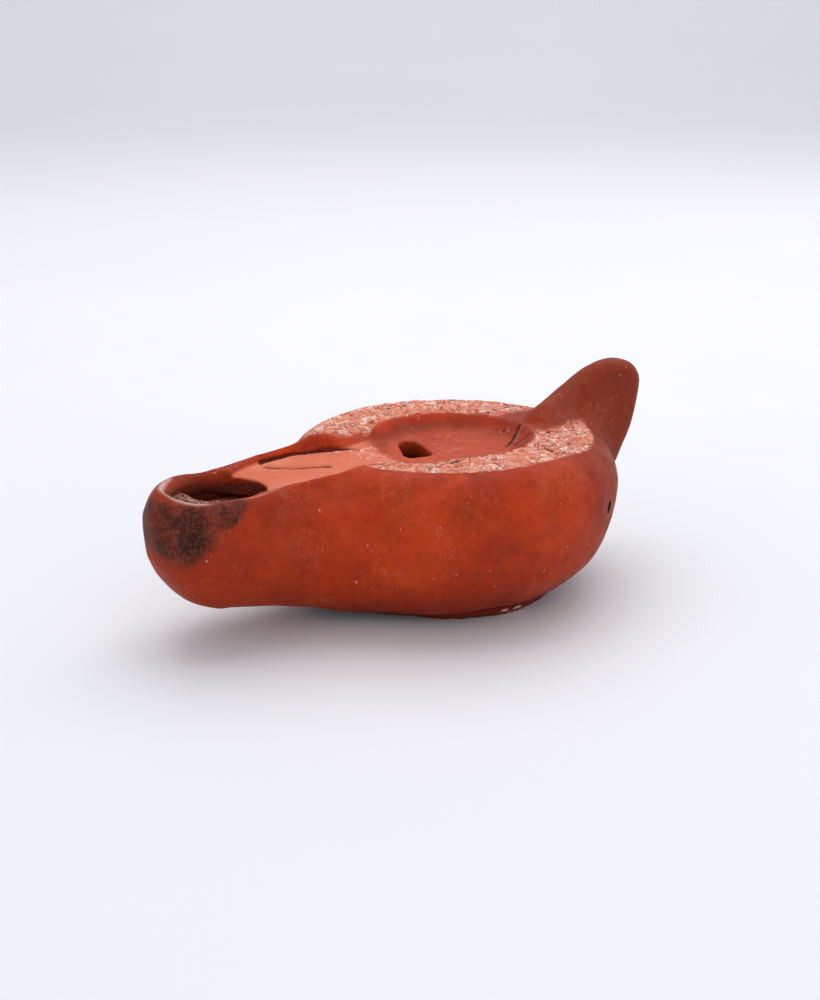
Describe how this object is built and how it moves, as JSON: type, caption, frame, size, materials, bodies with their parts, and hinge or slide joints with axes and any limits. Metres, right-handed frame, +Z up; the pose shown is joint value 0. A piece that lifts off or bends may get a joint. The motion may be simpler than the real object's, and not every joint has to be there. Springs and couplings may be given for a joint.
{
  "type": "oil lamp",
  "caption": "Mould-made clay oil lamp with a round closed body, long nozzle, sunken top, stamped shoulder band, lug handle and ring foot.",
  "frame": {"origin": "centre of the ring foot, on the surface that the lamp stands on", "axes": "+Z up, +X along the lamp towards the handle, -X towards the nozzle, +Y to the left of the nozzle-to-handle line"},
  "size_m": [0.1162, 0.07, 0.0434],
  "materials": {
    "terracotta": "matte, smoothed by hand, with worn stamped relief",
    "seam_slip": "matte, brushed",
    "burnt_crust": "matte, crumbly"
  },
  "bodies": {
    "root": {"foot_ring": "terracotta", "lower_bowl": "terracotta", "upper_half": "terracotta", "handle_lug": "terracotta", "handle_root_coil": "terracotta", "seam_slip": "seam_slip", "wick_crust": "burnt_crust"}
  },
  "joints": []
}
